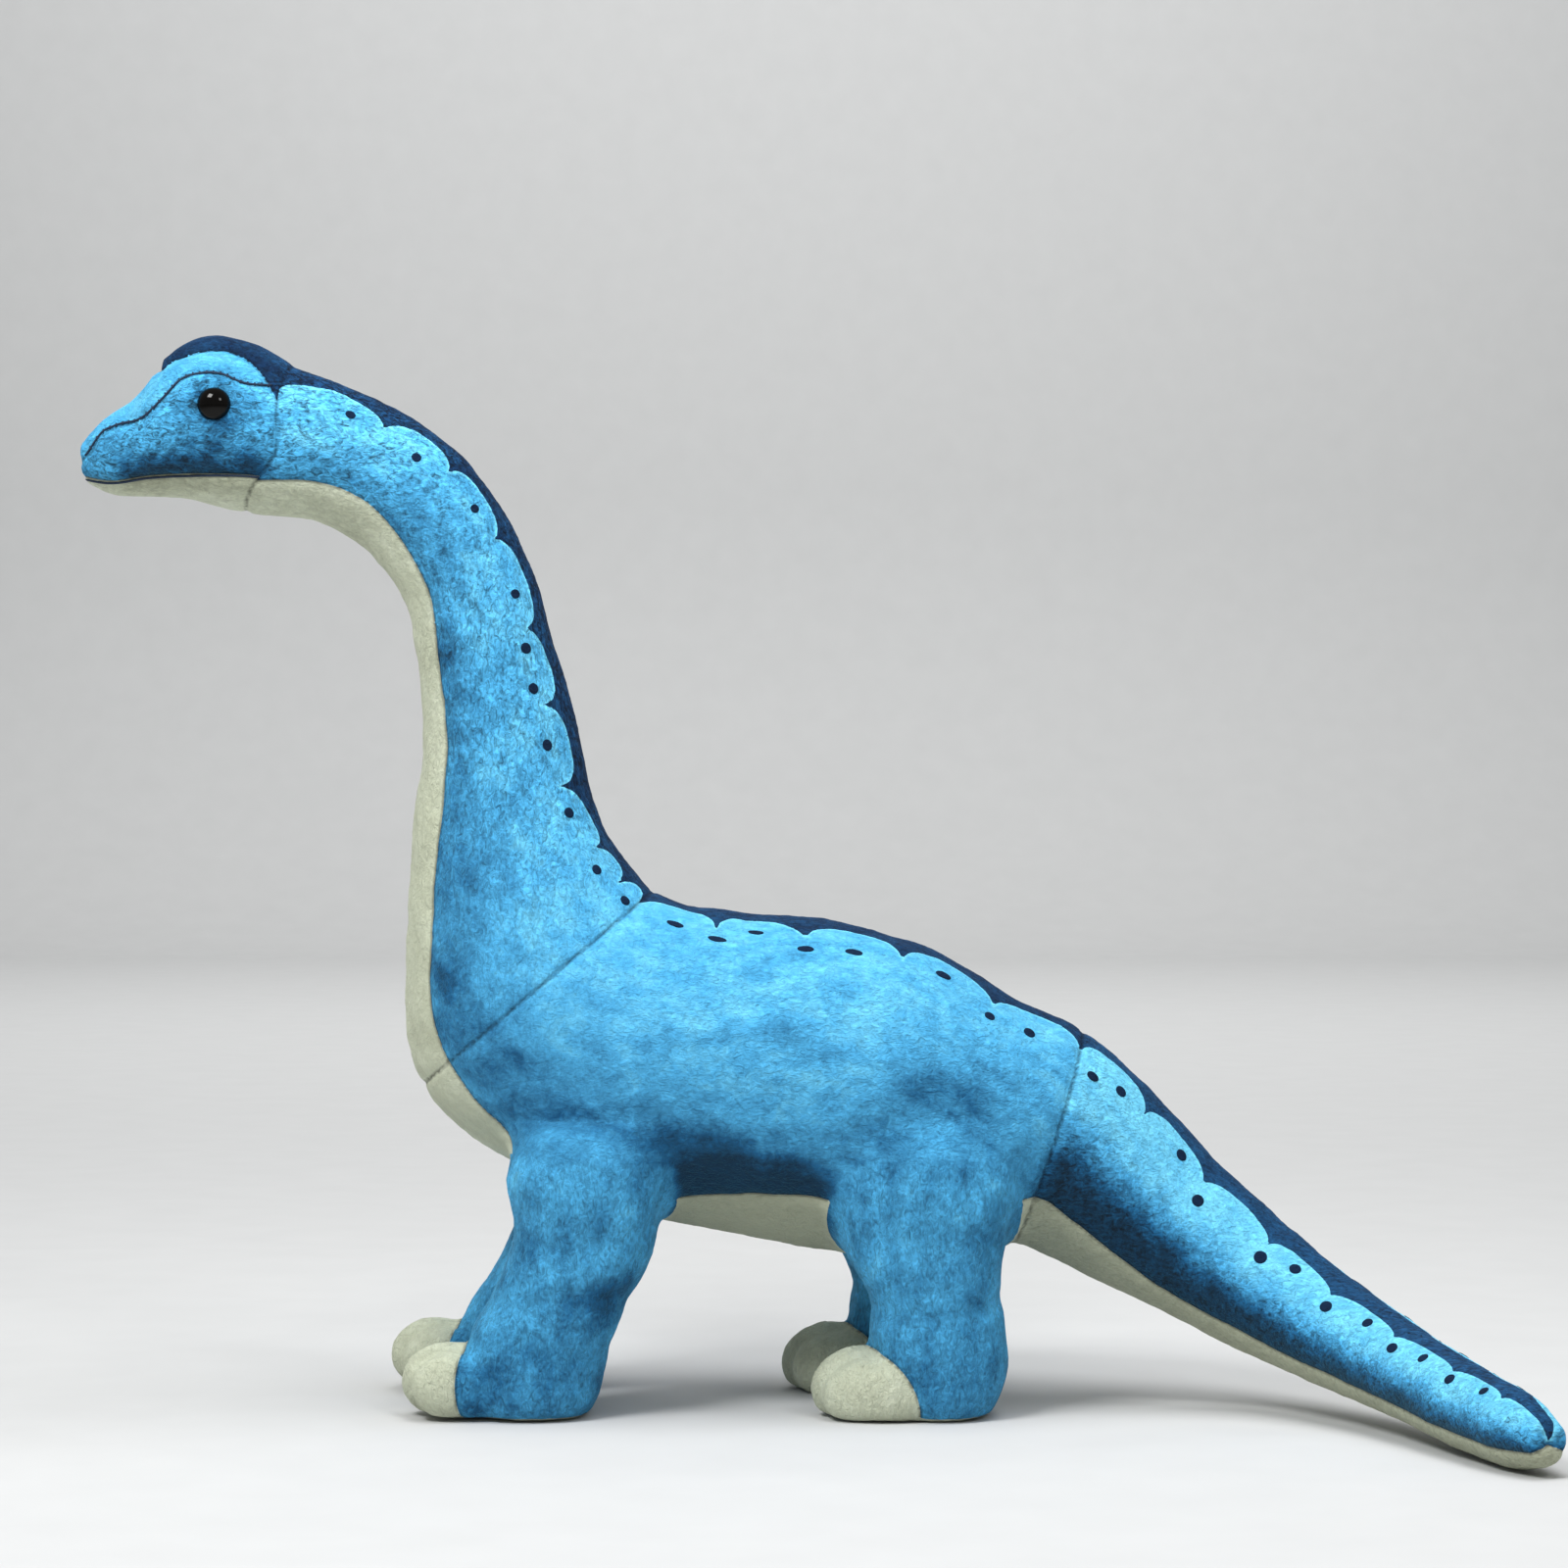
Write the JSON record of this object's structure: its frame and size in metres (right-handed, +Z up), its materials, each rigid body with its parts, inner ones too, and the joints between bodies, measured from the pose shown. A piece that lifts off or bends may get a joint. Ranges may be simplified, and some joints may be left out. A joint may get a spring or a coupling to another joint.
{
  "type": "stuffed dinosaur",
  "caption": "Long-necked plush dinosaur that stands on short legs, with a fibre-filled body, sewn panels and a long tail that curls to one side.",
  "frame": {"origin": "on the floor under the middle of the standing toy's bounding box", "axes": "+Z up; -X the way the head faces, +X to the tail; the tail curls to -Y, the toy's left"},
  "size_m": [0.5054, 0.2294, 0.3844],
  "materials": {
    "blue_plush": "short-pile polyester plush, printed mottle and scallops",
    "navy_plush": "short-pile polyester plush, dark back strip",
    "cream_plush": "short-pile polyester plush, pale underside and toes",
    "fibre_fill": "loose siliconised polyester fibre",
    "eye_plastic": "polished black safety eye",
    "washer_plastic": "natural moulded polyethylene"
  },
  "bodies": {
    "torso": {"torso_stuffing": "fibre_fill", "torso_back_strip": "navy_plush", "belly_panel": "cream_plush", "flank_left": "blue_plush", "flank_right": "blue_plush"},
    "neck": {"neck_stuffing": "fibre_fill", "neck_back_strip": "navy_plush", "throat_panel": "cream_plush", "neck_side_left": "blue_plush", "neck_side_right": "blue_plush"},
    "head": {"head_stuffing": "fibre_fill", "crest_panel": "navy_plush", "brow_panel_left": "blue_plush", "brow_panel_right": "blue_plush", "cheek_left": "blue_plush", "cheek_right": "blue_plush", "jaw_panel": "cream_plush", "eye_left": "eye_plastic", "eye_right": "eye_plastic", "eye_washer_left": "washer_plastic", "eye_washer_right": "washer_plastic"},
    "tail": {"tail_stuffing": "fibre_fill", "tail_back_strip": "navy_plush", "tail_underside": "cream_plush", "tail_side_left": "blue_plush", "tail_side_right": "blue_plush"},
    "fore_left_leg": {"fore_left_leg_stuffing": "fibre_fill", "fore_left_leg_cover": "blue_plush", "fore_left_sole": "cream_plush", "fore_left_toe_cap": "cream_plush"},
    "fore_right_leg": {"fore_right_leg_stuffing": "fibre_fill", "fore_right_leg_cover": "blue_plush", "fore_right_sole": "cream_plush", "fore_right_toe_cap": "cream_plush"},
    "hind_left_leg": {"hind_left_leg_stuffing": "fibre_fill", "hind_left_leg_cover": "blue_plush", "hind_left_sole": "cream_plush", "hind_left_toe_cap": "cream_plush"},
    "hind_right_leg": {"hind_right_leg_stuffing": "fibre_fill", "hind_right_leg_cover": "blue_plush", "hind_right_sole": "cream_plush", "hind_right_toe_cap": "cream_plush"}
  },
  "joints": [
    {"name": "neck_lean", "type": "hinge", "parent": "torso", "child": "neck", "pos_m": [-0.08765, 0.05557, 0.1493], "axis": [0, 1, 0], "range_deg": [-10, 10], "stiffness_Nm_per_rad": 3},
    {"name": "head_nod", "type": "hinge", "parent": "neck", "child": "head", "pos_m": [-0.18405, 0.05557, 0.3465], "axis": [0, 1, 0], "range_deg": [-12, 12], "stiffness_Nm_per_rad": 0.8},
    {"name": "tail_sway", "type": "hinge", "parent": "torso", "child": "tail", "pos_m": [0.09595, 0.05557, 0.095], "axis": [0, 0, 1], "range_deg": [-12, 12], "stiffness_Nm_per_rad": 0.8},
    {"name": "fore_left_leg_swing", "type": "hinge", "parent": "torso", "child": "fore_left_leg", "pos_m": [-0.07105, 0.02257, 0.09], "axis": [0, 1, 0], "range_deg": [-10, 10], "stiffness_Nm_per_rad": 2},
    {"name": "fore_right_leg_swing", "type": "hinge", "parent": "torso", "child": "fore_right_leg", "pos_m": [-0.07105, 0.08857, 0.09], "axis": [0, 1, 0], "range_deg": [-10, 10], "stiffness_Nm_per_rad": 2},
    {"name": "hind_left_leg_swing", "type": "hinge", "parent": "torso", "child": "hind_left_leg", "pos_m": [0.04895, 0.02257, 0.088], "axis": [0, 1, 0], "range_deg": [-10, 10], "stiffness_Nm_per_rad": 2},
    {"name": "hind_right_leg_swing", "type": "hinge", "parent": "torso", "child": "hind_right_leg", "pos_m": [0.04895, 0.08857, 0.088], "axis": [0, 1, 0], "range_deg": [-10, 10], "stiffness_Nm_per_rad": 2}
  ]
}
